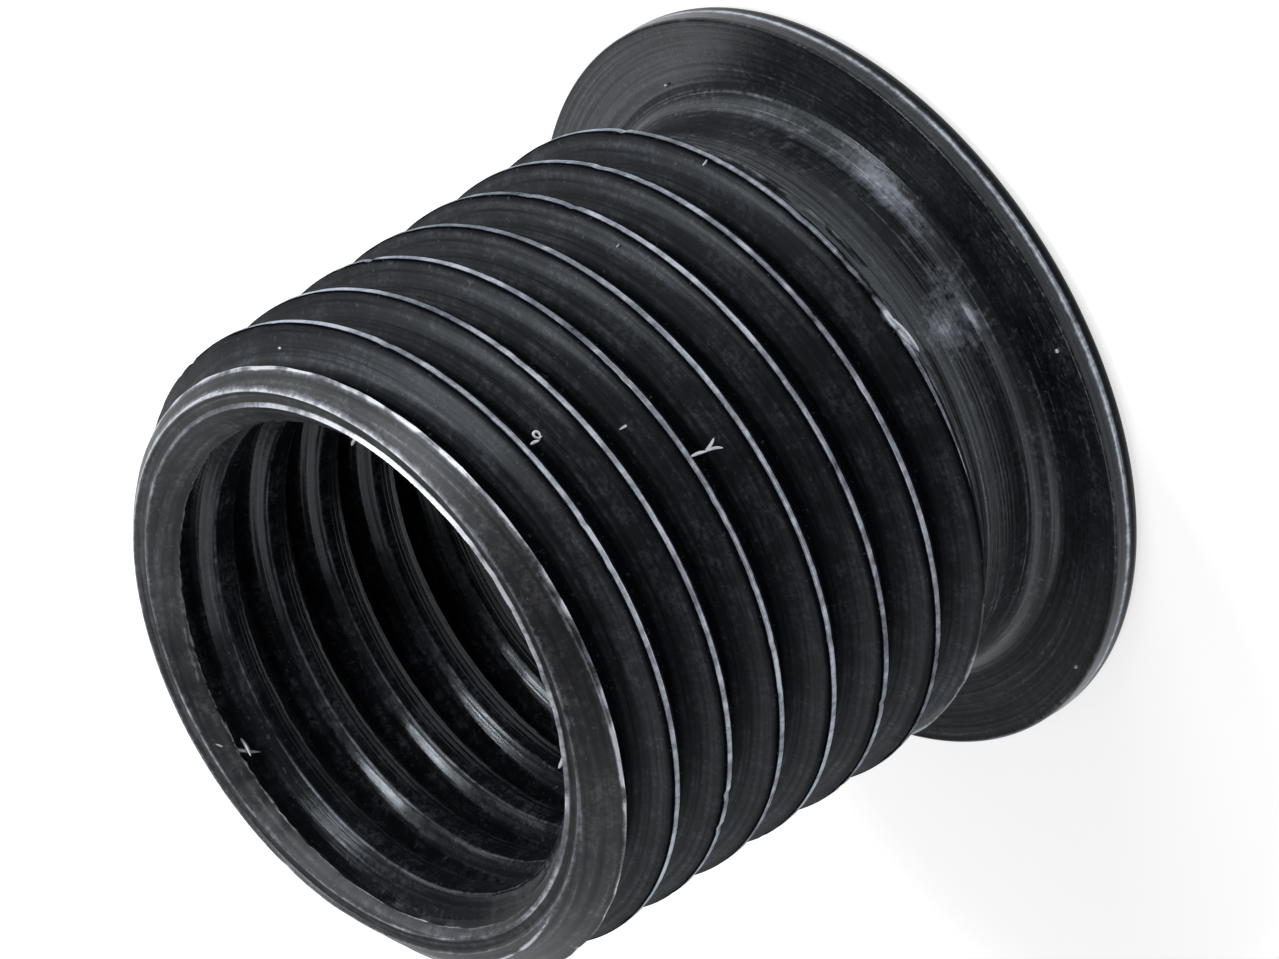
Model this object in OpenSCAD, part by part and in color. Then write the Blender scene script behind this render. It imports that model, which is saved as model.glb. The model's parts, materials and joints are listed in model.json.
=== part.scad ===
// Flanged thread insert: one turned steel sleeve, threaded outside and inside.
// The flange's outer face lies on z = 0 and the threaded nose points up along z.
// Both threads are right-handed, of one pitch, and cut as true helical grooves.
// Radii build up from the bore outwards, so a wall never vanishes between the two threads.

/* [Sleeve] */
// Overall length from the flange's outer face to the nose
length = 12; // [8:0.5:20]
// Thinnest wall, between the roots of the two threads
wall = 0.23; // [0.15:0.01:1]

/* [Threads] */
// Pitch of both threads
pitch = 1.25; // [0.8:0.05:1.75]
// Angle between the two flanks of a thread
flank_angle = 60; // [50:1:70]

/* [Bore] */
// Diameter of the bore over the crests of its thread
bore_d = 8.9; // [6:0.1:16]
// Width of the flat on a crest of the bore
bore_crest = 0.46; // [0.3:0.01:0.5]
// Width of the flat at a root of the bore
bore_root = 0.15; // [0.1:0.01:0.25]
// Turn of the bore's thread about the axis
bore_turn = 315; // [0:9:351]
// How far the countersink at the flange reaches past the bore's roots
mouth_reach = 0.29; // [0.05:0.01:0.6]
// How far the countersink at the nose stops short of the bore's roots
nose_stop = 0.04; // [0.01:0.01:0.2]
// Slope of both countersinks
sink_angle = 45; // [30:5:60]

/* [Outer thread] */
// Width of the flat on an outer crest
outer_crest = 0.2; // [0.15:0.01:0.3]
// Width of the flat at an outer root
outer_root = 0.22; // [0.1:0.01:0.25]
// Turn of the outer thread about the axis
outer_turn = 54; // [0:9:351]
// How far the flat end face reaches past the outer roots
face_reach = 0.02; // [0.02:0.01:0.3]
// Slope of the lead-in chamfer from the end face to the crests
lead_angle = 45; // [30:5:60]

/* [Neck] */
// How far the plain neck lies below the outer roots
neck_relief = 0.03; // [0.02:0.01:0.1]
// Length of the neck from the seat to the foot of the thread
neck_len = 1.55; // [1.2:0.05:3]
// Fillet between the neck and the seat
neck_fillet = 0.5; // [0.1:0.05:0.6]
// Slope of the shoulder from the neck up to the thread
shoulder_angle = 45; // [30:5:60]

/* [Flange] */
// How far the flange stands out past the crests
flange_lip = 0.85; // [0.3:0.05:3]
// Thickness of the flange
flange_t = 0.65; // [0.5:0.05:1.5]
// Rounding of the rim at the outer face
rim_round = 0.25; // [0.05:0.05:0.3]
// Rounding of the rim at the seat
seat_round = 0.06; // [0.02:0.02:0.14]

/* [Hidden] */
// Straight steps in one turn of a thread
turn_steps = 40;
// Turn of the blank that keeps its seam between two steps of a thread
seam_turn = 180 / turn_steps;
// How far a cutter reaches past the face that it cuts
overcut = 0.1;
$fn = 80;
flank = tan(flank_angle / 2);
bore_depth = (pitch - bore_crest - bore_root) / (2 * flank);
outer_depth = (pitch - outer_crest - outer_root) / (2 * flank);
bore_r = bore_d / 2;
bore_root_r = bore_r + bore_depth;
outer_root_r = bore_root_r + wall;
outer_r = outer_root_r + outer_depth;
neck_r = outer_root_r - neck_relief;
flange_r = outer_r + flange_lip;
face_r = outer_root_r + face_reach;
mouth_r = bore_root_r + mouth_reach;
nose_r = bore_root_r - nose_stop;
neck_top = flange_t + neck_len;
shoulder_top = neck_top + (outer_r - neck_r) / tan(shoulder_angle);
lead_foot = length - (outer_r - face_r) / tan(lead_angle);

// Section of a groove, as [radius, height] points about its middle.
// Its floor lies at root_r, and it opens at open_r, past the crests.
function groove_section(root_r, open_r, root_flat) =
    let (
        half_floor = root_flat / 2,
        half_open = half_floor + abs(open_r - root_r) * flank
    )
    root_r < open_r
    ? [[root_r, -half_floor], [open_r, -half_open], [open_r, half_open], [root_r, half_floor]]
    : [[open_r, -half_open], [root_r, -half_floor], [root_r, half_floor], [open_r, half_open]];

// Half the width of a groove where it opens
function half_width(section) = max([for (point = section) point[1]]);

// A groove's section carried up a right-hand helix, its middle going from z_from to z_to
module helical_cutter(section, z_from, z_to) {
    first = floor(turn_steps * z_from / pitch);
    steps = ceil(turn_steps * z_to / pitch) - first;
    sides = len(section);
    rings = [for (i = [first : first + steps])
        let (angle = 360 * i / turn_steps)
        for (point = section)
            [point[0] * cos(angle), point[0] * sin(angle), point[1] + pitch * i / turn_steps]];
    walls = [for (i = [0 : steps - 1], j = [0 : sides - 1])
        let (
            here = i * sides + j,
            beside = i * sides + (j + 1) % sides
        )
        each [[here, beside, beside + sides], [here, beside + sides, here + sides]]];
    start_cap = [for (j = [0 : sides - 1]) sides - 1 - j];
    end_cap = [for (j = [0 : sides - 1]) steps * sides + j];
    polyhedron(rings, concat(walls, [start_cap, end_cap]), convexity = 20);
}

// The waste at an outside corner that is rounded by radius r, its corner at the origin
module corner_waste(r) {
    difference() {
        translate([-r, -overcut]) square([r + overcut, r + overcut]);
        translate([-r, r]) circle(r);
    }
}

// Outline of the turned blank on one side of the axis, before the bore
module blank_section() {
    difference() {
        square([flange_r, flange_t]);
        translate([flange_r, 0]) corner_waste(rim_round);
        translate([flange_r, flange_t]) mirror([0, 1]) corner_waste(seat_round);
    }
    square([neck_r, length]);
    translate([neck_r, flange_t]) difference() {
        square(neck_fillet);
        translate([neck_fillet, neck_fillet]) circle(neck_fillet);
    }
    polygon([
        [0, neck_top], [neck_r, neck_top], [outer_r, shoulder_top],
        [outer_r, lead_foot], [face_r, length], [0, length]
    ]);
}

// Outline of the bore with a countersink at each end
module bore_section() {
    mouth_depth = (mouth_r - bore_r) / tan(sink_angle);
    nose_depth = (nose_r - bore_r) / tan(sink_angle);
    polygon([
        [0, -overcut], [mouth_r, -overcut], [mouth_r, 0], [bore_r, mouth_depth],
        [bore_r, length - nose_depth], [nose_r, length], [nose_r, length + overcut], [0, length + overcut]
    ]);
}

// Groove of the outer thread, from the clear neck to past the nose
module outer_groove() {
    section = groove_section(outer_root_r, outer_r + overcut, outer_root);
    reach = half_width(section) + overcut;
    rotate(-outer_turn) helical_cutter(section, flange_t + reach, length + reach);
}

// Groove of the bore's thread, past both ends
module bore_groove() {
    section = groove_section(bore_root_r, bore_r - overcut, bore_root);
    reach = half_width(section) + overcut;
    rotate(-bore_turn) helical_cutter(section, -reach, length + reach);
}

module threaded_insert() {
    color("#23262a") difference() {
        rotate(seam_turn) rotate_extrude() difference() {
            blank_section();
            bore_section();
        }
        outer_groove();
        bore_groove();
    }
}

threaded_insert();
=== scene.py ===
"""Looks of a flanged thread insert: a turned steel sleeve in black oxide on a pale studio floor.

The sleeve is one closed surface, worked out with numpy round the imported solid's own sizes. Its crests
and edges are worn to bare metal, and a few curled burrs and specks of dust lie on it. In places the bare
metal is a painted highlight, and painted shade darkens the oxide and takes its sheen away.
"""

import json
import logging
import math
from dataclasses import astuple, dataclass, field
from enum import Enum
from functools import cache

import bpy
import numpy as np
from mathutils import Matrix, Vector


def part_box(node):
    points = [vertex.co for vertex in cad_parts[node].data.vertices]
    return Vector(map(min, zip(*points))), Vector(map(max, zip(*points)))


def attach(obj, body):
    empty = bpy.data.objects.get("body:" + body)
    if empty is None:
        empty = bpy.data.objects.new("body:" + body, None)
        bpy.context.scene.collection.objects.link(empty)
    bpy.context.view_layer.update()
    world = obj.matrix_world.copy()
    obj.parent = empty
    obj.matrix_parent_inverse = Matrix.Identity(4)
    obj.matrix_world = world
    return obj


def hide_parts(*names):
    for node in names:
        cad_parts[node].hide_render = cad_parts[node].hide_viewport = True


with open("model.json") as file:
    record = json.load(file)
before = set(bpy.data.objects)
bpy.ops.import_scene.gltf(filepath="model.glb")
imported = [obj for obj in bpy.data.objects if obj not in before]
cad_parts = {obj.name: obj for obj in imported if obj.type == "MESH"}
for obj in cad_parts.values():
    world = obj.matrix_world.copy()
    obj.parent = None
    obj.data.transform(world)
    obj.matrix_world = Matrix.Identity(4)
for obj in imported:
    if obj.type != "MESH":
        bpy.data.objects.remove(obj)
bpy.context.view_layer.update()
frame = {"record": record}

LOG = logging.getLogger("thread_insert")
NODE = "threaded_insert"
BODY = "root"
MM = 0.001
# Points that share a cell of this size, in millimetres, are merged
WELD = 1e-5
# Part of a cell by which the cells are shifted, to keep their edges off round sizes
WELD_SHIFT = 0.314
# A blank that lies deeper than this below the crests, in millimetres, is a cone
ON_CREST = 1e-6
FULL_TURN = 2.0 * math.pi
Colour = tuple[float, float, float, float]
Feed = float | Colour | bpy.types.NodeSocket
WHITE: Colour = (1.0, 1.0, 1.0, 1.0)


class Finish(Enum):
    """Finishes of the sleeve, each with its place in the mesh's list of materials."""

    FLANKS = 0
    TURNED = 1
    BORE = 2
    CUT_END = 3


@dataclass(frozen=True)
class InsertSizes:
    """Sizes of the sleeve in millimetres and degrees, built up from the bore as in the solid.

    Heights run from the flange's outer face at 0 up to the nose.
    """

    length: float
    flange_r: float
    bore_r: float
    pitch: float = 1.25
    flank_angle: float = 60.0
    bore_crest: float = 0.46
    bore_root: float = 0.15
    bore_turn: float = 315.0
    outer_crest: float = 0.20
    outer_root: float = 0.22
    outer_turn: float = 54.0
    flange_lip: float = 0.85
    flange_t: float = 0.65
    rim_round: float = 0.25
    seat_round: float = 0.06
    neck_relief: float = 0.03
    neck_len: float = 1.55
    neck_fillet: float = 0.50
    face_reach: float = 0.02
    mouth_reach: float = 0.29
    nose_stop: float = 0.04

    @classmethod
    def from_frame(cls) -> "InsertSizes":
        """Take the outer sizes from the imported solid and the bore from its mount.

        Returns:
            The sizes of the sleeve.
        """
        low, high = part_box(NODE)
        mounts = {mount["name"]: mount for mount in frame["record"]["mounts"]}
        return cls(
            length=(high.z - low.z) / MM,
            flange_r=(high.x - low.x) / 2.0 / MM,
            bore_r=mounts["bore_thread"]["dims"]["r_mm"],
        )

    @property
    def outer_r(self) -> float:
        """Radius over the outer crests."""
        return self.flange_r - self.flange_lip

    @property
    def outer_root_r(self) -> float:
        """Radius at the outer roots."""
        return self.outer_r - self.groove_depth(self.outer_crest, self.outer_root)

    @property
    def bore_root_r(self) -> float:
        """Radius at the bore's roots."""
        return self.bore_r + self.groove_depth(self.bore_crest, self.bore_root)

    @property
    def neck_r(self) -> float:
        """Radius of the plain neck."""
        return self.outer_root_r - self.neck_relief

    @property
    def face_r(self) -> float:
        """Outer radius of the flat end face."""
        return self.outer_root_r + self.face_reach

    @property
    def mouth_r(self) -> float:
        """Radius of the countersink at the flange's outer face."""
        return self.bore_root_r + self.mouth_reach

    @property
    def nose_r(self) -> float:
        """Radius of the countersink at the end face."""
        return self.bore_root_r - self.nose_stop

    @property
    def neck_top(self) -> float:
        """Height where the neck meets the shoulder."""
        return self.flange_t + self.neck_len

    @property
    def shoulder_top(self) -> float:
        """Height where the shoulder, at 45 degrees, meets the crests."""
        return self.neck_top + self.outer_r - self.neck_r

    @property
    def lead_foot(self) -> float:
        """Height where the lead chamfer, at 45 degrees, leaves the crests."""
        return self.length - (self.outer_r - self.face_r)

    @property
    def mouth_depth(self) -> float:
        """Depth of the countersink at the flange, at 45 degrees."""
        return self.mouth_r - self.bore_r

    @property
    def nose_depth(self) -> float:
        """Depth of the countersink at the nose, at 45 degrees."""
        return self.nose_r - self.bore_r

    def groove_depth(self, crest: float, root: float) -> float:
        """Depth of a groove between two flats.

        Args:
            crest: Width of the flat on a crest.
            root: Width of the flat at a root.

        Returns:
            The depth that the two flanks leave between them.
        """
        return (self.pitch - crest - root) / (2.0 * math.tan(math.radians(self.flank_angle / 2.0)))


@dataclass(frozen=True)
class RaggedLine:
    """Smooth seeded noise along a line, from -1 to 1, with one random value at each step."""

    seed: int
    step: float
    count: int = 4096

    def at(self, place: np.ndarray) -> np.ndarray:
        """Blend the two random values beside each place with a smooth step.

        Args:
            place: Distances along the line, in millimetres.

        Returns:
            Noise at those places.
        """
        values = np.random.default_rng(self.seed).uniform(-1.0, 1.0, self.count)
        scaled = place / self.step
        cell = np.floor(scaled)
        part = scaled - cell
        part = part * part * (3.0 - 2.0 * part)
        index = cell.astype(int)
        return values[index % self.count] * (1.0 - part) + values[(index + 1) % self.count] * part


@dataclass(frozen=True)
class CrestWear:
    """How the bare line along a crest comes and goes: shares of wear, and lengths in millimetres.

    The line is bared by at_middle at the height middle_z and by rise more for each millimetre up. Slow
    and quick noise is added. Across the line the share falls to beside at its edge, and to none at fade
    times its half width.
    """

    at_middle: float = 0.78
    middle_z: float = 6.0
    rise: float = 0.03
    slow: float = 0.15
    slow_step: float = 2.3
    quick: float = 0.12
    quick_step: float = 0.17
    most: float = 1.15
    beside: float = 0.92
    fade: float = 1.4


@dataclass(frozen=True)
class ThreadForm:
    """A right-hand thread whose crest follows z = crest_z + pitch * (turn + angle / full turn).

    The form is a flat crest, a straight flank and a flat root. The crest's corners are broken and then
    eased into the flank, and painted shade reaches a little way up the flank from a root. Wear has bared
    a line along the crest, worn to either side of worn_at.
    """

    pitch: float
    crest_r: float
    root_r: float
    crest_flat: float
    root_flat: float
    crest_z: float
    edge_break: float
    ease: float
    root_shade: float
    ragged: float
    nick: float
    worn_at: float
    worn: float
    seed: int
    wear: CrestWear = CrestWear()
    high_side_step: float = 0.34
    low_side_step: float = 0.27
    nick_step: float = 0.21
    nick_from: float = 0.72
    shade_beside: float = 0.1
    runout_clear: float = 0.05
    runout_margin: float = 0.4

    @property
    def half_crest(self) -> float:
        """Half the width of a crest's flat."""
        return self.crest_flat / 2.0

    @property
    def half_foot(self) -> float:
        """Offset of a flank's foot from its crest's middle."""
        return (self.pitch - self.root_flat) / 2.0

    @property
    def knees(self) -> tuple[np.ndarray, np.ndarray]:
        """Offsets from a crest's middle, and the share of the depth there, of half the form.

        The depth grows evenly with the distance past the crest's edge. The broken corner starts level,
        edge_break inside that edge, and has knees an eighth of edge_break inside it and a half past it.
        """
        broken = self.edge_break
        flank = self.half_foot - self.half_crest
        eased = 0.5 * broken + self.ease
        past_edge = np.array([-broken, -0.125 * broken, 0.5 * broken, eased, flank - self.root_shade, flank])
        share = np.abs(past_edge) / flank
        share[0] = 0.0
        offsets = np.concatenate([[0.0], self.half_crest + past_edge, [self.pitch / 2.0]])
        return offsets, np.concatenate([[0.0], share, [1.0]])

    @property
    def row_offsets(self) -> np.ndarray:
        """Offsets from a crest's middle that get a row of points, from low to high."""
        outward = self.knees[0][1:-1]
        line = self.worn_at + self.worn * np.array([-self.wear.fade, -1.0, 0.0, 1.0, self.wear.fade])
        return np.unique(np.concatenate([-outward, outward, line]))

    def follow(self, z: np.ndarray, angle: np.ndarray) -> tuple[np.ndarray, np.ndarray]:
        """Say where points lie on the helix.

        Args:
            z: Heights in millimetres.
            angle: Angles about the axis in radians.

        Returns:
            The offset from the nearest crest's middle, and the distance along that crest.
        """
        turns = (z - self.crest_z) / self.pitch - angle / FULL_TURN
        nearest = np.round(turns)
        along = (nearest + angle / FULL_TURN) * FULL_TURN * self.crest_r
        return (turns - nearest) * self.pitch, along

    def radius(self, z: np.ndarray, angle: np.ndarray) -> np.ndarray:
        """Radius of the thread, with ragged crest edges and a few nicks.

        The radius is the crest's plus the depth's share at the offset, where the offset wanders a
        little along the crest and each nick lowers the crest.

        Args:
            z: Heights in millimetres.
            angle: Angles about the axis in radians.

        Returns:
            The radii.
        """
        offset, along = self.follow(z, angle)
        high_side = RaggedLine(self.seed, self.high_side_step).at(along)
        low_side = RaggedLine(self.seed + 1, self.low_side_step).at(along)
        wander = np.where(offset > 0.0, high_side, low_side)
        near_crest = np.clip(1.0 - np.abs(offset) / self.crest_flat, 0.0, 1.0)
        share = np.interp(np.abs(offset) + self.ragged * wander * near_crest, *self.knees)
        dips = RaggedLine(self.seed + 2, self.nick_step).at(along)
        bite = np.clip((dips - self.nick_from) / (1.0 - self.nick_from), 0.0, 1.0)
        depth = self.root_r - self.crest_r
        return self.crest_r + depth * share + self.nick * bite * near_crest * np.sign(depth)

    def bareness(self, z: np.ndarray, angle: np.ndarray) -> np.ndarray:
        """How far wear has bared the metal: most on the middle of the worn line, and none off it.

        The share fades and returns along the line with two scales of noise, and grows towards the nose.

        Args:
            z: Heights in millimetres.
            angle: Angles about the axis in radians.

        Returns:
            Shares from 0 to a little over 1.
        """
        wear = self.wear
        offset, along = self.follow(z, angle)
        away = np.abs(offset - self.worn_at) / self.worn
        band = np.interp(away, [0.0, 1.0, wear.fade], [1.0, wear.beside, 0.0])
        slow = wear.slow * RaggedLine(self.seed + 3, wear.slow_step).at(along)
        quick = wear.quick * RaggedLine(self.seed + 4, wear.quick_step).at(along)
        level = wear.at_middle + wear.rise * (z - wear.middle_z)
        return band * np.clip(level + slow + quick, 0.0, wear.most)

    def painted_shade_at(self, z: np.ndarray, angle: np.ndarray) -> np.ndarray:
        """Painted shade on a crest and a little beside it, and at a root: it darkens the oxide and takes
        its sheen away.

        Args:
            z: Heights in millimetres.
            angle: Angles about the axis in radians.

        Returns:
            Shares from 0 to 1.
        """
        offset, _ = self.follow(z, angle)
        beside = self.half_crest + self.shade_beside
        places = [self.half_crest, beside, self.half_foot - self.root_shade, self.half_foot]
        return np.interp(np.abs(offset), places, [1.0, 0.0, 0.1, 1.0])

    def runout(
        self, z: np.ndarray, angle: np.ndarray, blank: np.ndarray, width: float | np.ndarray,
    ) -> np.ndarray:
        """Nearness to the edge where the thread runs out in a cone, left out where it skims root or crest.

        Args:
            z: Heights in millimetres.
            angle: Angles about the axis in radians.
            blank: Radii of the turned blank.
            width: Difference of the two radii at which the nearness ends.

        Returns:
            Shares from 1 on the edge to 0 away from it.
        """
        radius = self.radius(z, angle)
        off_root = np.clip(np.abs(radius - self.root_r) / self.runout_clear - self.runout_margin, 0.0, 1.0)
        off_crest = np.clip(np.abs(radius - self.crest_r) / self.runout_clear, 0.0, 1.0)
        return off_root * off_crest * np.clip(1.0 - np.abs(radius - blank) / width, 0.0, 1.0)

    def helical_rows(self, z_low: float, z_high: float, angles: np.ndarray) -> np.ndarray:
        """Heights of rows that climb with the helix and stop at two level rings.

        Args:
            z_low: Height of the lower ring.
            z_high: Height of the upper ring.
            angles: Angles of the columns.

        Returns:
            Heights, one row for each knee of each turn and one column for each angle.
        """
        first = math.floor((z_low - self.pitch - self.crest_z) / self.pitch)
        last = math.ceil((z_high - self.crest_z) / self.pitch)
        turns = np.arange(first, last + 1)
        foot = (self.crest_z + self.pitch * turns[:, None] + self.row_offsets[None, :]).ravel()
        climb = self.pitch * angles / FULL_TURN
        return np.clip(foot[:, None] + climb[None, :], z_low, z_high)


@dataclass
class Strip:
    """A stretch of the sleeve's skin as a grid, with rows along the section and columns round the axis.

    Each point has its height and radius, how bare it is, how much shade is painted on it, and its place
    across the cut.
    """

    z: np.ndarray
    r: np.ndarray
    bare: np.ndarray
    dull: np.ndarray
    across: np.ndarray
    finish: Finish


@dataclass(frozen=True)
class SkinPatch:
    """A patch on the skin that fades out from its middle, at an angle in degrees and a height.

    It reaches wide round the sleeve and high along it, both in millimetres.
    """

    angle: float
    z: float
    wide: float
    high: float
    share: float

    def at(self, z: np.ndarray, r: np.ndarray, angle: np.ndarray) -> np.ndarray:
        """Strength of the patch: a bell shape in the distances round and along the sleeve.

        Args:
            z: Heights in millimetres.
            r: Radii in millimetres.
            angle: Angles about the axis in radians.

        Returns:
            Shares from 0 to the patch's own share.
        """
        turn = angle - math.radians(self.angle)
        bell = np.exp(-(r * np.sin(turn) / self.wide) ** 2 - ((z - self.z) / self.high) ** 2)
        return np.where(np.cos(turn) > 0.0, self.share * bell, 0.0)


@dataclass(frozen=True)
class TornEdge:
    """The countersink's edge at the nose, torn by the cut: noise of two scales and one deeper notch.

    Angles are in degrees, and depths and widths in millimetres. The noise is full on the rough side,
    fades over rough_spread radians to the share least, and dies out at the seam of the grid. The thread's
    end within thread_reach of the nose is torn by thread_share of it.
    """

    coarse: RaggedLine = RaggedLine(71, 0.24)
    coarse_depth: float = 0.055
    fine: RaggedLine = RaggedLine(72, 0.10)
    fine_depth: float = 0.045
    notch_at: float = 234.0
    notch_depth: float = 0.09
    notch_width: float = 0.11
    rough_at: float = 85.0
    rough_spread: float = 0.8
    least: float = 0.35
    seam: float = 0.06
    thread_reach: float = 0.8
    thread_fade: float = 0.3
    thread_share: float = 0.9

    def depth(self, angle: np.ndarray, radius: float) -> np.ndarray:
        """How far the edge is torn outwards.

        Args:
            angle: Angles about the axis in radians, from 0 to a full turn.
            radius: Radius of the edge in millimetres.

        Returns:
            Depths in millimetres.
        """
        along = angle * radius
        noise = self.coarse_depth * self.coarse.at(along) + self.fine_depth * self.fine.at(along)
        from_notch = (angle - math.radians(self.notch_at)) * radius / self.notch_width
        from_rough = (angle - math.radians(self.rough_at)) / self.rough_spread
        rough_side = self.least + (1.0 - self.least) * np.exp(-from_rough ** 2)
        seam = np.clip(np.minimum(angle, FULL_TURN - angle) / self.seam, 0.0, 1.0)
        return (noise * rough_side + self.notch_depth * np.exp(-from_notch ** 2)) * seam


@dataclass(frozen=True)
class NoseWear:
    """Wear round the nose: shares of bareness, and the distances in millimetres over which they end.

    The end face's edge is worn bare, and bared more towards angle 0 as a painted highlight. The lip round
    the bore is worn bare, and bared more round one angle in degrees, spread over an angle in radians, as a
    painted highlight. The runouts say how far the bared edges of the thread spread: below and above a crest
    in the lead chamfer, and in the other cones. The dish is the sunk part of the end face, as shares of its
    width.
    """

    chamfer: float = 0.08
    face_edge: float = 0.70
    face_edge_highlight: float = 0.40
    face_edge_most: float = 1.1
    face_edge_width: float = 0.12
    crest_edge: float = 0.6
    crest_edge_width: float = 0.06
    dash: float = 1.15
    dash_swing: float = 0.60
    dashes: RaggedLine = RaggedLine(81, 0.33)
    low_runout: float = 0.26
    high_runout: float = 0.025
    plain_runout: float = 0.09
    lip: float = 0.60
    lip_highlight: float = 0.45
    lip_swing: float = 0.22
    lip_flecks: RaggedLine = RaggedLine(83, 0.40)
    lip_highlight_at: float = 300.0
    lip_highlight_spread: float = 1.1
    lip_height: float = 0.054
    dish_from: float = 0.24
    dish_to: float = 0.74
    sink_edge: float = 0.8
    sink_edge_width: float = 0.05
    sink_runout: float = 0.72
    bore_line: float = 0.55
    cone_from: float = 0.02


def smooth_from(faces: np.ndarray, points: np.ndarray, name: str) -> bpy.types.Mesh:
    """Put triangles into a new mesh with smooth faces.

    Args:
        faces: Point numbers, three for each triangle.
        points: Places in metres.
        name: Name of the mesh.

    Returns:
        The mesh.
    """
    mesh = bpy.data.meshes.new(name)
    mesh.vertices.add(len(points))
    mesh.vertices.foreach_set("co", points.astype(np.float32).ravel())
    mesh.loops.add(faces.size)
    mesh.loops.foreach_set("vertex_index", faces.astype(np.int32).ravel())
    mesh.polygons.add(len(faces))
    mesh.polygons.foreach_set("loop_start", np.arange(0, faces.size, 3, dtype=np.int32))
    mesh.polygons.foreach_set("use_smooth", np.ones(len(faces), dtype=bool))
    mesh.update(calc_edges=True)
    return mesh


def grid_triangles(rows: int, columns: int) -> np.ndarray:
    """Two triangles for each cell of a grid of points, wound to face away from the section.

    Args:
        rows: Rows of points.
        columns: Columns of points.

    Returns:
        Point numbers, three for each triangle.
    """
    number = np.arange(rows * columns).reshape(rows, columns)
    here, beside = number[:-1, :-1], number[:-1, 1:]
    above, across = number[1:, :-1], number[1:, 1:]
    lower = np.stack([here, beside, across], axis=-1).reshape(-1, 3)
    upper = np.stack([here, across, above], axis=-1).reshape(-1, 3)
    return np.concatenate([lower, upper])


def welded(points: np.ndarray, faces: np.ndarray) -> tuple[np.ndarray, np.ndarray, np.ndarray]:
    """Merge points that fall together and drop the triangles that lose a side that way.

    Args:
        points: Places in millimetres.
        faces: Point numbers, three for each triangle.

    Returns:
        The points kept, the renumbered triangles, and which of the old triangles they are.
    """
    key = np.floor(points / WELD + WELD_SHIFT).astype(np.int64)
    _, kept, merged = np.unique(key, axis=0, return_index=True, return_inverse=True)
    faces = merged.ravel()[faces]
    whole = (faces[:, 0] != faces[:, 1]) & (faces[:, 1] != faces[:, 2]) & (faces[:, 2] != faces[:, 0])
    return kept, faces[whole], whole


def unit(vectors: np.ndarray) -> np.ndarray:
    """Scale vectors along the last axis to length 1."""
    return vectors / np.linalg.norm(vectors, axis=-1, keepdims=True)


def set_values(mesh: bpy.types.Mesh, name: str, values: np.ndarray) -> None:
    """Store one number for each point of a mesh."""
    mesh.attributes.new(name, "FLOAT", "POINT").data.foreach_set("value", values.astype(np.float32))


def place_piece(mesh: bpy.types.Mesh, name: str) -> bpy.types.Object:
    """Put a mesh into the scene as a piece of the part's one body.

    Args:
        mesh: The mesh.
        name: Name of the piece.

    Returns:
        The piece's object.
    """
    piece = bpy.data.objects.new(name, mesh)
    bpy.context.scene.collection.objects.link(piece)
    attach(piece, BODY)
    return piece


@dataclass(frozen=True)
class Run:
    """A stretch of a turned outline, with its bareness and its painted shade at even steps along it."""

    points: np.ndarray
    bare: tuple[float, ...]
    dull: tuple[float, ...]

    def spread(self, values: tuple[float, ...]) -> np.ndarray:
        """Blend values at even steps into one for each point."""
        shares = np.linspace(0.0, 1.0, len(self.points))
        return np.interp(shares, np.linspace(0.0, 1.0, len(values)), values)


def arc(centre: tuple[float, float], radius: float, start: float, end: float, count: int) -> np.ndarray:
    """Points of radius and height on an arc: the centre plus radius times (cosine, sine).

    Args:
        centre: Radius and height of the arc's centre.
        radius: The arc's own radius.
        start: First angle in degrees.
        end: Last angle in degrees.
        count: Number of points.

    Returns:
        The points, one in each row.
    """
    turn = np.radians(np.linspace(start, end, count))
    return np.array(centre) + radius * np.column_stack([np.cos(turn), np.sin(turn)])


def straight(start: tuple[float, float], end: tuple[float, float], shares: np.ndarray) -> np.ndarray:
    """Points of radius and height at shares of the way from start to end."""
    return np.array(start) + np.subtract(end, start) * shares[:, None]


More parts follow.
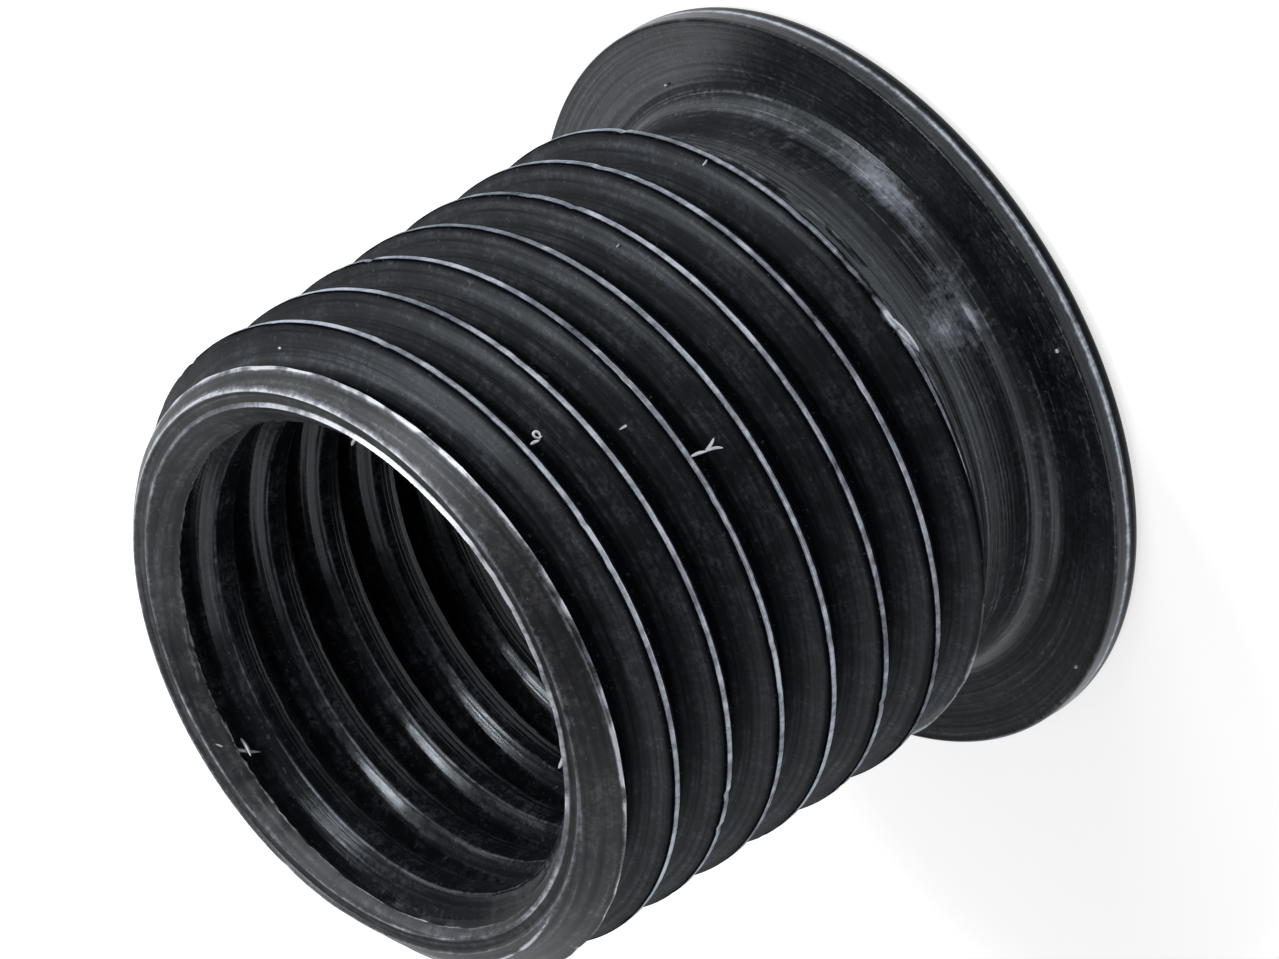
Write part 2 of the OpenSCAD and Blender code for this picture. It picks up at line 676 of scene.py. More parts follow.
@dataclass
class ThreadedSleeve:
    """The sleeve itself: flange, neck, two threads, lead chamfer, end face and countersinks.

    Its skin is a grid with one column for each step round the axis. The rows are counted by stretch,
    or given as heights on the rim and as shares of the end face's width.
    """

    sizes: InsertSizes
    columns: int = 264
    shoulder_rows: int = 16
    lead_rows: int = 30
    sink_rows: int = 20
    mouth_rows: int = 10
    round_rows: int = 8
    fillet_rows: int = 10
    straight_rows: int = 9
    sharp_angle: float = 32.0
    rim_rows: tuple[float, ...] = (0.28, 0.32, 0.36, 0.40, 0.45, 0.52)
    face_rows: tuple[float, ...] = (0.0, 0.10, 0.24, 0.4, 0.6, 0.74, 0.80, 0.90, 1.0)
    torn_edge: TornEdge = TornEdge()
    wear: NoseWear = NoseWear()
    wear_under_patches: float = 0.4
    scuffs_and_highlights: tuple[SkinPatch, ...] = (
        # Scuffs on the neck and a chip on the first crest; the patches at -64, -40, -30 and -118 degrees
        # lengthen the fillet's band as painted highlight
        SkinPatch(-93.0, 1.65, 0.55, 0.50, 0.66),
        SkinPatch(-84.0, 1.25, 0.50, 0.30, 0.45),
        SkinPatch(-64.0, 0.92, 1.20, 0.24, 0.62),
        SkinPatch(-86.5, 3.01, 0.22, 0.09, 1.15),
        SkinPatch(-91.5, 2.93, 0.30, 0.09, 1.15),
        SkinPatch(-40.0, 1.30, 0.90, 0.35, 0.26),
        SkinPatch(-30.0, 0.90, 1.30, 0.20, 0.22),
        SkinPatch(-118.0, 0.95, 1.50, 0.22, 0.28),
        SkinPatch(-94.0, 1.07, 0.34, 0.07, 0.90),
        SkinPatch(-97.0, 1.32, 0.26, 0.06, 0.62),
    )
    # Painted shade that dims the highlight on the bore's first turn
    painted_first_turn_shade: SkinPatch = SkinPatch(104.0, 11.20, 1.90, 0.65, 0.72)
    # Painted shade on one side of the lead chamfer and the end face
    painted_end_shade: SkinPatch = SkinPatch(-104.0, 11.70, 2.60, 0.70, 0.55)
    # Painted sheen on the nose's countersink, as bare metal
    painted_sink_sheen: SkinPatch = SkinPatch(172.0, 11.75, 1.60, 0.25, 0.42)
    outer: ThreadForm = field(init=False)
    bore: ThreadForm = field(init=False)

    def __post_init__(self) -> None:
        """Set out the two threads from the sizes."""
        sizes = self.sizes
        # The solid's turns place a groove, and its crest lies half a pitch above
        half = sizes.pitch / 2.0
        self.outer = ThreadForm(
            sizes.pitch, sizes.outer_r, sizes.outer_root_r, sizes.outer_crest, sizes.outer_root,
            crest_z=half + sizes.pitch * sizes.outer_turn / 360.0,
            edge_break=0.05, ease=0.04, root_shade=0.1, ragged=0.024, nick=0.050,
            worn_at=-0.01, worn=0.049, seed=11,
        )
        self.bore = ThreadForm(
            sizes.pitch, sizes.bore_r, sizes.bore_root_r, sizes.bore_crest, sizes.bore_root,
            crest_z=half + sizes.pitch * sizes.bore_turn / 360.0,
            edge_break=0.09, ease=0.15, root_shade=0.0, ragged=0.015, nick=0.02,
            worn_at=sizes.bore_crest / 2.0 - 0.015, worn=0.018, seed=37,
        )

    @property
    def angles(self) -> np.ndarray:
        """Angles of the columns, from 0 to a full turn with both ends."""
        return np.linspace(0.0, FULL_TURN, self.columns + 1)

    def outer_blank(self, z: np.ndarray) -> np.ndarray:
        """Radius of the turned blank: shoulder, crest cylinder and lead chamfer as straight stretches.

        Args:
            z: Heights in millimetres.

        Returns:
            The radii.
        """
        sizes = self.sizes
        heights = [sizes.neck_top, sizes.shoulder_top, sizes.lead_foot, sizes.length]
        return np.interp(z, heights, [sizes.neck_r, sizes.outer_r, sizes.outer_r, sizes.face_r])

    def bore_blank(self, z: np.ndarray, angle: np.ndarray) -> np.ndarray:
        """Radius of the plain bore with its countersinks, torn most at the foot of the nose's one.

        Args:
            z: Heights in millimetres.
            angle: Angles about the axis in radians.

        Returns:
            The radii.
        """
        sizes = self.sizes
        mouth = sizes.bore_r + np.maximum(0.0, sizes.mouth_depth - z)
        nose = sizes.bore_r + np.maximum(0.0, z - sizes.length + sizes.nose_depth)
        depth_share = np.clip((sizes.length - z) / sizes.nose_depth, 0.0, 1.0)
        return np.maximum(mouth, nose) + self.torn(angle) * np.where(nose > sizes.bore_r, depth_share, 0.0)

    def torn(self, angle: np.ndarray) -> np.ndarray:
        """How far the countersink's edge at the nose is torn."""
        return self.torn_edge.depth(angle, self.sizes.nose_r)

    def outer_radius(self, z: np.ndarray, angle: np.ndarray) -> np.ndarray:
        """Outer skin: the smaller of the blank's radius and the thread's."""
        return np.minimum(self.outer_blank(z), self.outer.radius(z, angle))

    def bore_radius(self, z: np.ndarray, angle: np.ndarray) -> np.ndarray:
        """Skin of the bore: the larger of the blank's radius and the thread's, torn towards the nose.

        Args:
            z: Heights in millimetres.
            angle: Angles about the axis in radians.

        Returns:
            The radii.
        """
        edge = self.torn_edge
        near_nose = np.clip((z - self.sizes.length + edge.thread_reach) / edge.thread_fade, 0.0, 1.0)
        thread = self.bore.radius(z, angle) - edge.thread_share * near_nose * np.abs(self.torn(angle))
        return np.maximum(self.bore_blank(z, angle), thread)

    def level(self, heights: np.ndarray) -> tuple[np.ndarray, np.ndarray]:
        """Spread level rows over all columns.

        Args:
            heights: Height of each row.

        Returns:
            Heights and angles as grids.
        """
        return np.meshgrid(heights, self.angles, indexing="ij")

    def turned(self, runs: tuple[Run, ...], finish: Finish) -> Strip:
        """A strip of plain turning: an outline carried round the axis.

        Args:
            runs: Stretches of the outline, in order.
            finish: Finish of the strip.

        Returns:
            The strip.
        """
        outline = np.concatenate([run.points for run in runs])
        bare = np.concatenate([run.spread(run.bare) for run in runs])
        dull = np.concatenate([run.spread(run.dull) for run in runs])
        steps = np.linalg.norm(np.diff(outline, axis=0), axis=1)
        along = np.concatenate([[0.0], np.cumsum(steps)])
        wide = np.ones(self.columns + 1)
        rows = (outline[:, 1], outline[:, 0], bare, dull, along)
        return Strip(*(row[:, None] * wide for row in rows), finish)

    def scuffed_and_highlit(self, strip: Strip) -> Strip:
        """Add the patches to a strip's bareness: scuffs and a chipped crest, and patches of painted
        highlight round the fillet.

        Args:
            strip: The strip, which is changed.

        Returns:
            The same strip.
        """
        rubbed = sum(patch.at(strip.z, strip.r, self.angles) for patch in self.scuffs_and_highlights)
        strip.bare = np.maximum(strip.bare, self.wear_under_patches * strip.bare + rubbed)
        return strip

    def flange_strip(self) -> Strip:
        """Outer face, rim, seat, fillet and neck, from the countersink's edge up to the shoulder.

        The rim is rounded below, and a band of bare metal round its widest place is a painted highlight.

        Returns:
            The strip.
        """
        sizes = self.sizes
        lay = np.linspace(0.0, 1.0, self.straight_rows)
        face_out = sizes.flange_r - sizes.rim_round
        seat_out = sizes.flange_r - sizes.seat_round
        seat_foot = sizes.flange_t - sizes.seat_round
        fillet_r = sizes.neck_r + sizes.neck_fillet
        fillet_top = sizes.flange_t + sizes.neck_fillet
        heights = np.array(self.rim_rows)
        # Each run gives bareness and then painted shade. The rim's bare band is a painted highlight with
        # painted shade on either side of it, and the fillet's bareness is partly wear and partly painted
        # highlight.
        runs = (
            Run(straight((sizes.mouth_r, 0.0), (face_out, 0.0), lay[:-1:4]), (0.0,), (0.5,)),
            Run(
                arc((face_out, sizes.rim_round), sizes.rim_round, -90.0, 0.0, self.round_rows),
                (0.0,), (0.9,),
            ),
            Run(
                np.column_stack([np.full_like(heights, sizes.flange_r), heights]),
                (0.0, 0.62, 1.0, 0.62, 0.0, 0.0), (0.8, 0.4, 0.0, 0.1, 0.4, 0.45),
            ),
            Run(
                arc((seat_out, seat_foot), sizes.seat_round, 0.0, 90.0, self.round_rows),
                (0.05, 0.34, 0.1), (0.4, 0.4, 0.3),
            ),
            Run(
                straight((seat_out, sizes.flange_t), (fillet_r, sizes.flange_t), lay[1:-1]),
                (0.02,), (0.0,),
            ),
            Run(
                arc((fillet_r, fillet_top), sizes.neck_fillet, -90.0, -180.0, self.fillet_rows),
                (0.08, 0.30, 0.20), (0.0,),
            ),
            Run(
                straight((sizes.neck_r, fillet_top), (sizes.neck_r, sizes.neck_top), lay[1:]),
                (0.16,), (0.0,),
            ),
        )
        return self.scuffed_and_highlit(self.turned(runs, Finish.TURNED))

    def outer_strips(self) -> list[Strip]:
        """Shoulder, outer thread and lead chamfer, from the neck up to the end face.

        Returns:
            The strips, in order.
        """
        sizes = self.sizes
        shoulder, around = self.level(np.linspace(sizes.neck_top, sizes.shoulder_top, self.shoulder_rows))
        climb = self.outer.helical_rows(sizes.shoulder_top, sizes.lead_foot, self.angles)
        return [
            self.scuffed_and_highlit(self.outer_strip(shoulder, around, Finish.TURNED)),
            self.scuffed_and_highlit(self.outer_strip(climb, np.broadcast_to(self.angles, climb.shape), Finish.FLANKS)),
            self.lead_strip(),
        ]

    def outer_strip(self, z: np.ndarray, angle: np.ndarray, finish: Finish) -> Strip:
        """A strip of the outer skin, bare along the crests and in dashes where they run out in a cone.

        Args:
            z: Heights in millimetres.
            angle: Angles about the axis in radians.
            finish: Finish of the strip.

        Returns:
            The strip.
        """
        sizes, wear = self.sizes, self.wear
        offset, _ = self.outer.follow(z, angle)
        blank = self.outer_blank(z)
        on_cone = blank < sizes.outer_r - ON_CREST
        dashes = wear.dash + wear.dash_swing * wear.dashes.at(angle * sizes.outer_r)
        lead_width = np.where(offset < 0.0, wear.low_runout, wear.high_runout)
        width = np.where(z > sizes.lead_foot, lead_width, wear.plain_runout)
        runout = dashes * self.outer.runout(z, angle, blank, width)
        bare = np.where(blank < sizes.outer_r - wear.cone_from, 0.0, self.outer.bareness(z, angle))
        bare = np.where(on_cone, np.maximum(bare, runout), bare)
        # Painted shade on the crests and at the roots, none on the cones
        dull = np.where(on_cone, 0.0, self.outer.painted_shade_at(z, angle))
        return Strip(z, self.outer_radius(z, angle), bare, dull, offset, finish)

    def lead_strip(self) -> Strip:
        """Lead chamfer, rubbed along the end face's edge and where it cuts the crests, with a painted
        highlight on that edge towards angle 0 and painted shade on one side.

        Returns:
            The strip.
        """
        sizes, wear = self.sizes, self.wear
        z, angle = self.level(np.linspace(sizes.lead_foot, sizes.length, self.lead_rows))
        strip = self.outer_strip(z, angle, Finish.CUT_END)
        # The edge is worn bare, with more bareness towards angle 0 as a painted highlight
        rubbed = wear.face_edge + wear.face_edge_highlight * np.clip(np.cos(angle), 0.0, 1.0)
        face_edge = np.clip(rubbed - (sizes.length - z) / wear.face_edge_width, 0.0, wear.face_edge_most)
        from_foot = (z - sizes.lead_foot) / wear.crest_edge_width
        crest_edge = wear.crest_edge * np.clip(1.0 - from_foot, 0.0, 1.0)
        on_crest = self.outer.radius(z, angle) > sizes.outer_r - wear.crest_edge_width
        edges = np.maximum(face_edge, np.where(on_crest, crest_edge, 0.0))
        strip.bare = np.maximum(np.maximum(strip.bare, wear.chamfer), edges)
        # Painted shade on one side of the chamfer
        strip.dull = self.painted_end_shade.at(z, strip.r, angle)
        return strip

    def end_strip(self) -> Strip:
        """End face between the lead chamfer's edge and the countersink's edge.

        It is flat but for a low bright lip, thrown up round the bore by the countersink's cut. The lip is
        worn bare, with more bareness round one side as a painted highlight.

        Returns:
            The strip.
        """
        sizes, wear = self.sizes, self.wear
        level = np.full(self.columns + 1, sizes.length)
        share = np.array(self.face_rows)[:, None]
        outside = self.outer_radius(level, self.angles)
        inside = self.bore_radius(level, self.angles)
        r = outside + (inside - outside) * share
        dish = [0.0, wear.dish_from, wear.dish_to, 1.0]
        sunk = wear.lip_height * np.interp(share, dish, [0.0, 1.0, 1.0, 0.0])
        aside = (self.angles - math.radians(wear.lip_highlight_at) + math.pi) % FULL_TURN - math.pi
        flecks = wear.lip_swing * wear.lip_flecks.at(self.angles * sizes.nose_r)
        # Worn bareness, with more of it round one angle as a painted highlight
        rubbed = wear.lip + wear.lip_highlight * np.exp(-(aside / wear.lip_highlight_spread) ** 2) + flecks
        places = [0.0, 0.12, wear.dish_from, wear.dish_to, 0.80, 1.0]
        across = np.interp(share, places, [0.9, 0.4, 0.05, 0.3, 0.95, 1.1])
        # Painted shade on one side of the end face
        dull = self.painted_end_shade.at(level, r, self.angles)
        return Strip(level - sunk, r, across * rubbed, dull, r, Finish.CUT_END)

    def bore_strips(self) -> list[Strip]:
        """Countersink at the nose, bore thread and countersink at the flange, from the end face down.

        Returns:
            The strips, in order.
        """
        sizes = self.sizes
        top = sizes.length - sizes.nose_depth
        sink, sink_angle = self.level(np.linspace(sizes.length, top, self.sink_rows))
        climb = self.bore.helical_rows(sizes.mouth_depth, top, self.angles)[::-1]
        mouth, mouth_angle = self.level(np.linspace(sizes.mouth_depth, 0.0, self.mouth_rows))
        return [
            self.bore_strip(sink, sink_angle, Finish.CUT_END),
            self.bore_strip(climb, np.broadcast_to(self.angles, climb.shape), Finish.BORE),
            self.bore_strip(mouth, mouth_angle, Finish.BORE),
        ]

    def bore_strip(self, z: np.ndarray, angle: np.ndarray, finish: Finish) -> Strip:
        """A strip of the bore's skin, bare along its crests and at the edges of the nose's countersink,
        with a painted sheen on that countersink and painted shade on the first turn.

        Args:
            z: Heights in millimetres.
            angle: Angles about the axis in radians.
            finish: Finish of the strip.

        Returns:
            The strip.
        """
        sizes, wear = self.sizes, self.wear
        offset, _ = self.bore.follow(z, angle)
        blank = self.bore_blank(z, angle)
        r = self.bore_radius(z, angle)
        edge = wear.sink_edge * np.clip(1.0 - (sizes.length - z) / wear.sink_edge_width, 0.0, 1.0)
        runout = wear.sink_runout * self.bore.runout(z, angle, blank, wear.plain_runout)
        # Bare metal here paints a sheen on the countersink
        on_cone = np.maximum(runout, self.painted_sink_sheen.at(z, r, angle))
        on_thread = wear.bore_line * self.bore.bareness(z, angle)
        bare = np.where(blank > sizes.bore_r + wear.cone_from, on_cone, on_thread)
        # The bore's first turn gets painted shade, which dims its highlight
        return Strip(z, r, np.maximum(bare, edge), self.painted_first_turn_shade.at(z, r, angle), offset, finish)

    def build(self) -> bpy.types.Object:
        """Weld the strips into one closed mesh.

        Each point is (r cos angle, r sin angle, z). Points that fall together are merged, and
        triangles that lose a side that way are dropped.

        Returns:
            The sleeve's object, dressed and set on the frame.
        """
        strips = [self.flange_strip(), *self.outer_strips(), self.end_strip(), *self.bore_strips()]
        cosine, sine = np.cos(self.angles), np.sin(self.angles)
        cosine[-1], sine[-1] = cosine[0], sine[0]
        points, faces, finishes = [], [], []
        values = {"bare": [], "across": [], "dull": []}
        start = 0
        for strip in strips:
            place = np.stack([strip.r * cosine, strip.r * sine, strip.z + 0.0 * strip.r], axis=-1)
            triangles = grid_triangles(*strip.r.shape) + start
            start += strip.r.size
            points.append(place.reshape(-1, 3))
            faces.append(triangles)
            finishes.append(np.full(len(triangles), strip.finish.value))
            for name, parts in values.items():
                parts.append(np.broadcast_to(getattr(strip, name), strip.r.shape).ravel())
        points = np.concatenate(points)
        kept, triangles, whole = welded(points, np.concatenate(faces))
        mesh = smooth_from(triangles, points[kept] * MM, NODE)
        mesh.polygons.foreach_set("material_index", np.concatenate(finishes)[whole].astype(np.int32))
        for name, parts in values.items():
            set_values(mesh, name, np.concatenate(parts)[kept])
        mesh.set_sharp_from_angle(angle=math.radians(self.sharp_angle))
        for finish in FINISHES.values():
            mesh.materials.append(finish.material())
        piece = place_piece(mesh, "sleeve")
        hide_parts(NODE)
        return piece


@dataclass(frozen=True)
class Burr:
    """A sliver, hair or speck on the skin, with its angle in degrees and its lengths in millimetres.

    From its foot it goes aside, up and out, bent by bow and curled into a ring by loop.
    """

    angle: float
    r: float
    z: float
    aside: float
    up: float
    out: float = 0.05
    bow: float = 0.0
    loop: float = 0.0
    thick: float = 0.030


@dataclass
class BurrSet:
    """All the burrs and specks as one mesh of thin tubes."""

    burrs: tuple[Burr, ...]
    rings: int = 16
    sides: int = 8
    bare: float = 0.9

    def build(self) -> bpy.types.Object:
        """Sweep a round section along each burr's path.

        A path is the foot plus a straight run, plus half a sine wave of height bow and a ring of radius
        loop across the run. The section's radius is thick times the root of the same half wave, so that
        both tips come to a point.

        Returns:
            The piece's object.
        """
        table = np.array([astuple(burr) for burr in self.burrs])
        angle, r, z, aside, up, out, bow, loop, thick = table.T[:, :, None]
        radial = np.concatenate([np.cos(np.radians(angle)), np.sin(np.radians(angle)), 0.0 * angle], axis=1)
        upward = np.array([[0.0, 0.0, 1.0]])
        around = np.cross(upward, radial)
        run = around * aside + upward * up + radial * out
        heading = unit(run)
        across = unit(np.cross(radial, heading))[:, None]
        share = np.linspace(0.0, 1.0, self.rings)[None, :, None]
        wave = np.sin(math.pi * share)
        path = (radial * r + upward * z)[:, None] + run[:, None] * share
        path = path + across * (bow[:, None] * wave + loop[:, None] * (1.0 - np.cos(FULL_TURN * share)))
        path = path + heading[:, None] * loop[:, None] * np.sin(FULL_TURN * share)
        tangent = unit(np.gradient(path, axis=1))
        # A direction askew to all three axes, so that no path runs along it
        askew = radial + 0.37 * upward + 0.21 * around
        first = unit(np.cross(tangent, askew[:, None]))
        second = np.cross(tangent, first)
        spoke = FULL_TURN * (np.arange(self.sides + 1) % self.sides)[None, None, :, None] / self.sides
        ring = first[:, :, None] * np.cos(spoke) + second[:, :, None] * np.sin(spoke)
        swell = thick[:, None] * np.sqrt(np.abs(wave))
        points = (path[:, :, None] + swell[:, :, None] * ring).reshape(-1, 3)
        grid = grid_triangles(self.rings, self.sides + 1)
        stride = self.rings * (self.sides + 1)
        faces = (grid[None] + stride * np.arange(len(self.burrs))[:, None, None]).reshape(-1, 3)
        kept, triangles, _ = welded(points, faces)
        mesh = smooth_from(triangles, points[kept] * MM, "burrs")
        set_values(mesh, "bare", np.full(len(kept), self.bare))
        set_values(mesh, "across", np.linalg.norm(points[kept], axis=1))
        set_values(mesh, "dull", np.zeros(len(kept)))
        mesh.materials.append(SLIVER.material())
        return place_piece(mesh, "burrs")


BURRS = (
    # A forked hair on a crest
    Burr(-88.7, 5.93, 7.96, -0.07, -0.32, 0.08, bow=0.02),
    Burr(-89.2, 5.99, 7.69, -0.11, -0.34, 0.05, bow=0.03),
    Burr(-89.2, 5.99, 7.69, 0.12, -0.28, 0.06, bow=-0.02),
    # A curl and two slivers by the lead chamfer
    Burr(-73.4, 5.93, 10.22, 0.02, -0.10, 0.06, loop=0.075, thick=0.026),
    Burr(-73.2, 5.92, 10.40, -0.04, -0.17, 0.06, bow=0.01),
    Burr(-73.9, 5.60, 10.73, -0.20, 0.05, 0.06, bow=0.02),
    # Slivers torn from the countersink's edge
    Burr(-47.6, 4.97, 11.92, 0.10, 0.02, -0.24, bow=0.02),
    Burr(87.3, 4.84, 11.90, 0.52, -0.60, -0.20, bow=0.04, thick=0.036),
    Burr(84.4, 4.78, 11.54, 0.38, 0.14, -0.14, bow=0.03, thick=0.034),
    Burr(88.9, 4.74, 11.46, 0.36, 0.13, -0.18, bow=-0.02, thick=0.034),
    # Lint in the grooves
    Burr(-78.0, 5.50, 8.52, -0.09, -0.37, 0.08, bow=0.03),
    Burr(-82.7, 5.50, 6.96, -0.04, -0.05, 0.04, thick=0.034),
    Burr(-33.7, 5.60, 5.61, -0.25, 0.22, 0.05, bow=0.02, thick=0.020),
    Burr(-47.0, 5.72, 5.61, -0.24, 0.33, 0.08, bow=0.05, thick=0.026),
    Burr(-44.3, 5.93, 3.24, -0.11, 0.21, 0.04, bow=0.02, thick=0.024),
    # Two slivers at the notch
    Burr(-126.5, 4.98, 11.93, -0.36, 0.02, -0.20, bow=0.04, thick=0.044),
    Burr(-127.5, 4.97, 11.955, 0.72, 0.0, 0.0, bow=-0.03, thick=0.040),
    # A chip along the first crest
    Burr(-85.1, 5.93, 3.04, -0.90, -0.14, 0.02, bow=0.05, thick=0.050),
    Burr(-86.0, 5.90, 2.99, -0.72, -0.12, 0.03, bow=-0.06, thick=0.036),
    # Dust on the seat, the chamfer and the flanks
    Burr(-104.5, 6.45, 0.66, 0.07, 0.02, 0.03, thick=0.044),
    Burr(-163.6, 6.55, 0.66, 0.04, 0.02, 0.05, thick=0.036),
    Burr(19.0, 5.75, 0.68, 0.05, 0.02, 0.04),
    Burr(-6.4, 5.72, 0.68, 0.06, 0.02, 0.03, thick=0.028),
    Burr(-20.0, 5.60, 11.09, 0.06, 0.02, 0.03, thick=0.028),
    Burr(-44.4, 5.62, 7.12, -0.05, 0.0, 0.04, thick=0.024),
    Burr(-100.9, 5.50, 4.36, -0.04, -0.05, 0.04, thick=0.026),
    Burr(-115.7, 5.50, 4.12, -0.05, -0.05, 0.04, thick=0.024),
)


@dataclass
class NodePen:
    """Adds nodes to one node tree and links them."""

    tree: bpy.types.NodeTree

    def add(self, kind: str, **settings: object) -> bpy.types.Node:
        """Add a node and set its properties.

        Args:
            kind: The node's type.
            **settings: Properties of the node.

        Returns:
            The node.
        """
        node = self.tree.nodes.new(kind)
        for name, value in settings.items():
            setattr(node, name, value)
        return node

    def feed(self, socket: bpy.types.NodeSocket, value: Feed) -> None:
        """Link a socket to another, or set it to a constant.

        Args:
            socket: The socket to fill.
            value: Another socket, a number or a colour.
        """
        if isinstance(value, bpy.types.NodeSocket):
            self.tree.links.new(value, socket)
        else:
            socket.default_value = value

    def math(
        self, operation: str, first: Feed, second: Feed = 0.0, third: Feed = 0.0, clamp: bool = False,
    ) -> bpy.types.NodeSocket:
        """Add a Math node.

        Args:
            operation: The node's operation.
            first: First socket or number.
            second: Second socket or number.
            third: Third socket or number, which only some operations use.
            clamp: Whether the result is held from 0 to 1.

        Returns:
            The result's socket.
        """
        node = self.add("ShaderNodeMath", operation=operation, use_clamp=clamp)
        for socket, value in zip(node.inputs, (first, second, third)):
            self.feed(socket, value)
        return node.outputs[0]

    def ramp(self, value: Feed, low: float, high: float) -> bpy.types.NodeSocket:
        """Map a value to a smooth step.

        Args:
            value: The value.
            low: Where the step leaves 0.
            high: Where the step reaches 1.

        Returns:
            The result's socket.
        """
        node = self.add("ShaderNodeMapRange", interpolation_type="SMOOTHSTEP")
        self.feed(node.inputs["Value"], value)
        self.feed(node.inputs["From Min"], low)
        self.feed(node.inputs["From Max"], high)
        return node.outputs["Result"]

    def tint(self, share: Feed, first: Feed, second: Feed) -> bpy.types.NodeSocket:
        """Mix two colours.

        Args:
            share: Share of the second colour.
            first: First colour.
            second: Second colour.

        Returns:
            The mixed colour's socket.
        """
        node = self.add("ShaderNodeMix", data_type="RGBA")
        self.feed(node.inputs["Factor"], share)
        self.feed(node.inputs[6], first)
        self.feed(node.inputs[7], second)
        return node.outputs[2]

    def noise(
        self, place: Feed, scale: float, detail: float = 3.0, rough: float = 0.6,
    ) -> bpy.types.NodeSocket:
        """Add a noise texture.

        Args:
            place: Coordinates.
            scale: Grains in one unit of the coordinates.
            detail: Finer layers.
            rough: Strength of the finer layers.

        Returns:
            The noise's socket, from 0 to 1.
        """
        node = self.add("ShaderNodeTexNoise")
        self.feed(node.inputs["Vector"], place)
        self.feed(node.inputs["Scale"], scale)
        self.feed(node.inputs["Detail"], detail)
        self.feed(node.inputs["Roughness"], rough)
        return node.outputs["Fac"]

    def millimetres(self) -> bpy.types.NodeSocket:
        """Read Object coordinates in millimetres.

        Returns:
            The coordinates' socket.
        """
        scaled = self.add("ShaderNodeVectorMath", operation="SCALE")
        self.feed(scaled.inputs[0], self.add("ShaderNodeTexCoord").outputs["Object"])
        self.feed(scaled.inputs["Scale"], 1.0 / MM)
        return scaled.outputs["Vector"]

    def attribute(self, name: str) -> bpy.types.NodeSocket:
        """Value of one of the mesh's own attributes."""
        return self.add("ShaderNodeAttribute", attribute_name=name).outputs["Fac"]

    def group(self, tree: bpy.types.NodeTree, **inputs: Feed) -> bpy.types.bpy_prop_collection:
        """Place a node group with its own values.

        Args:
            tree: The group.
            **inputs: Sockets or numbers for the group's inputs.

        Returns:
            The group's outputs.
        """
        node = self.add("ShaderNodeGroup", node_tree=tree)
        for name, value in inputs.items():
            self.feed(node.inputs[name], value)
        return node.outputs


def new_group(
    name: str, inputs: tuple[str, ...], outputs: tuple[str, ...],
) -> tuple[NodePen, dict[str, bpy.types.NodeSocket], bpy.types.bpy_prop_collection]:
    """Start a node group whose sockets are all single values.

    Args:
        name: The group's name.
        inputs: Names of its inputs.
        outputs: Names of its outputs.

    Returns:
        A pen for the group, what comes in by name, and the sockets of what goes out.
    """
    tree = bpy.data.node_groups.new(name, "ShaderNodeTree")
    for in_out, sockets in (("INPUT", inputs), ("OUTPUT", outputs)):
        for socket in sockets:
            tree.interface.new_socket(socket, in_out=in_out, socket_type="NodeSocketFloat")
    pen = NodePen(tree)
    entry = pen.add("NodeGroupInput")
    return pen, {socket: entry.outputs[socket] for socket in inputs}, pen.add("NodeGroupOutput").inputs


class SurfaceEffects:
    """Node groups that the finishes share, each built once."""

    @staticmethod
    @cache
    def tool_marks() -> bpy.types.NodeTree:
        """Fine lines that run round the sleeve, from noise stretched along the cut.

        Returns:
            A group that turns the distance across the cut into a height.
        """
        along, upward = 0.22, 0.3
        pen, entry, leave = new_group("tool_marks", ("Across", "Lines"), ("Height",))
        split = pen.add("ShaderNodeSeparateXYZ")
        pen.feed(split.inputs[0], pen.millimetres())
        lines = pen.math("MULTIPLY", entry["Across"], entry["Lines"])
        join = pen.add("ShaderNodeCombineXYZ")
        pen.feed(join.inputs[0], pen.math("MULTIPLY", split.outputs[0], along))
        pen.feed(join.inputs[1], pen.math("MULTIPLY", split.outputs[1], along))
        pen.feed(join.inputs[2], pen.math("MULTIPLY_ADD", split.outputs[2], upward, lines))
        pen.feed(leave["Height"], pen.noise(join.outputs[0], scale=1.0, detail=1.5, rough=0.5))
        return pen.tree

    @staticmethod
    @cache
    def edge_wear() -> bpy.types.NodeTree:
        """Ragged patches of bare metal where wear has reached, with a bright core.

        Returns:
            A group that turns a share of bareness into a mask of dull metal and one of bright metal.
        """
        pen, entry, leave = new_group("edge_wear", ("Bare", "Ragged"), ("Mask", "Core"))
        fine_share = 0.7
        place = pen.millimetres()
        coarse = pen.math("SUBTRACT", pen.noise(place, scale=2.6, detail=4.0, rough=0.7), 0.5)
        fine = pen.math("SUBTRACT", pen.noise(place, scale=9.0), 0.5)
        both = pen.math("MULTIPLY_ADD", fine, fine_share, coarse)
        reached = pen.math("MULTIPLY_ADD", both, entry["Ragged"], entry["Bare"])
        pen.feed(leave["Mask"], pen.ramp(reached, low=0.30, high=0.72))
        pen.feed(leave["Core"], pen.ramp(reached, low=0.66, high=1.10))
        return pen.tree

    @staticmethod
    @cache
    def mottle() -> bpy.types.NodeTree:
        """Cloudy patches and fine grain of the oxide.

        Returns:
            A group that puts out clouds, grain and sparse pale flecks.
        """
        pen, _, leave = new_group("mottle", (), ("Cloud", "Grain", "Fleck"))
        place = pen.millimetres()
        clouds = pen.noise(place, scale=1.7, detail=6.0, rough=0.70)
        pen.feed(leave["Cloud"], pen.ramp(clouds, low=0.40, high=0.64))
        pen.feed(leave["Grain"], pen.noise(place, scale=9.0, detail=5.0, rough=0.72))
        pen.feed(leave["Fleck"], pen.ramp(pen.noise(place, scale=10.0), low=0.62, high=0.74))
        return pen.tree


